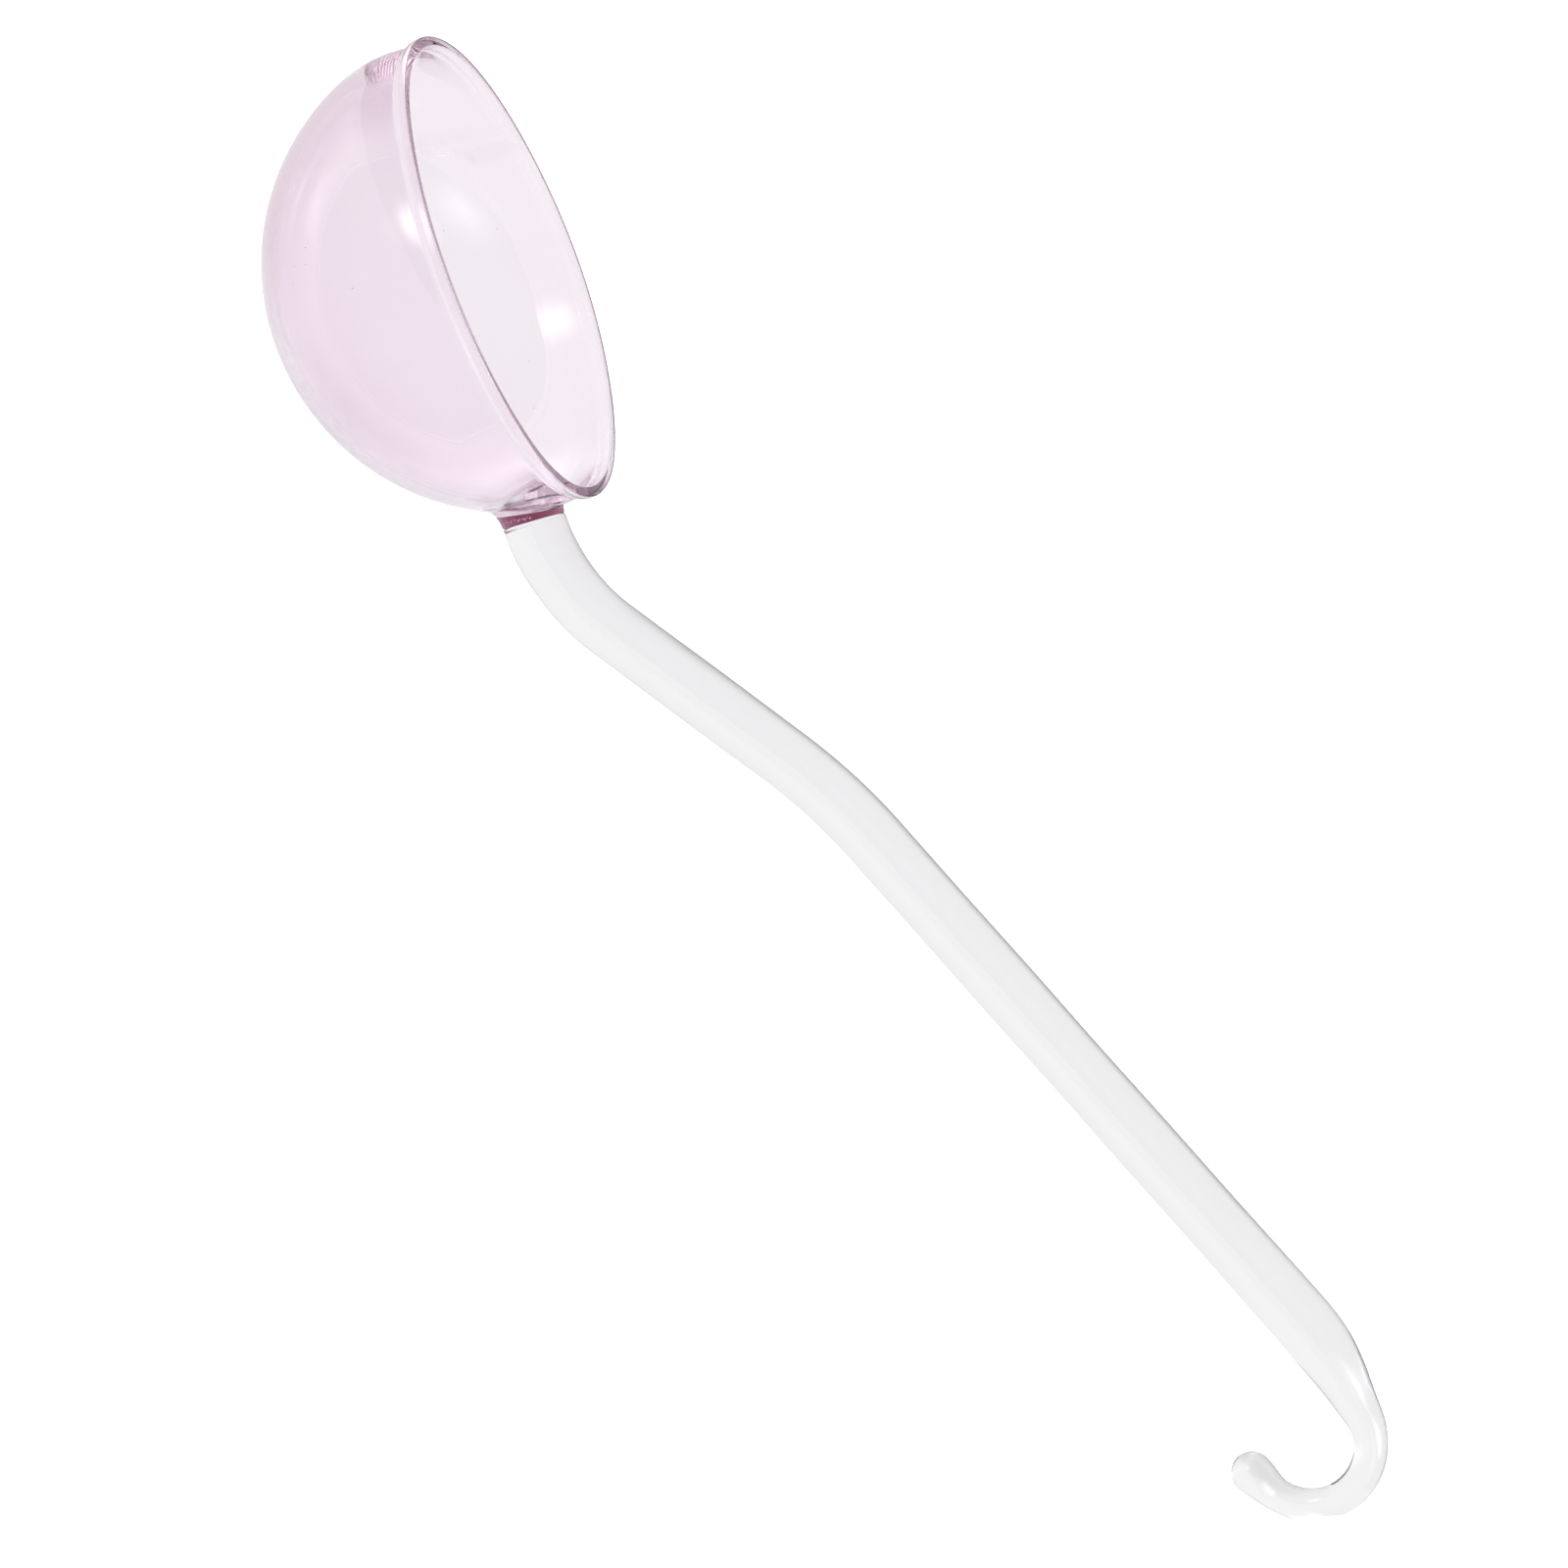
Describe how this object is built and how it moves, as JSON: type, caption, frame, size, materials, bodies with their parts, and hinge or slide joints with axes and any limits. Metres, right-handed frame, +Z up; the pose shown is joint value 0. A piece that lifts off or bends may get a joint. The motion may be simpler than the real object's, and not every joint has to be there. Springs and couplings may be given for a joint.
{
  "type": "punch ladle",
  "caption": "Glass punch ladle: a round pink bowl with a lipped rim, fused by a pink seal to a solid clear rod that swings up as the handle and ends in a hook to hang it by.",
  "frame": {"origin": "on the table, below the middle of the ladle's box, as the ladle lies at rest on its bowl and its hook", "axes": "+X from the bowl to the hook, +Z up, XZ is the mirror plane; the bowl's mouth leans towards +X"},
  "size_m": [0.2512, 0.0714, 0.0489],
  "materials": {
    "pink_glass": "thin blown glass, pale pink, smooth and flame polished",
    "seal_glass": "solid lump of the same pink glass, deep maroon because it is thick, with small bubbles",
    "clear_glass": "solid clear glass rod, smooth and flame polished"
  },
  "bodies": {
    "root": {"bowl": "pink_glass", "seal_collar": "seal_glass", "handle_rod": "clear_glass"}
  },
  "joints": []
}
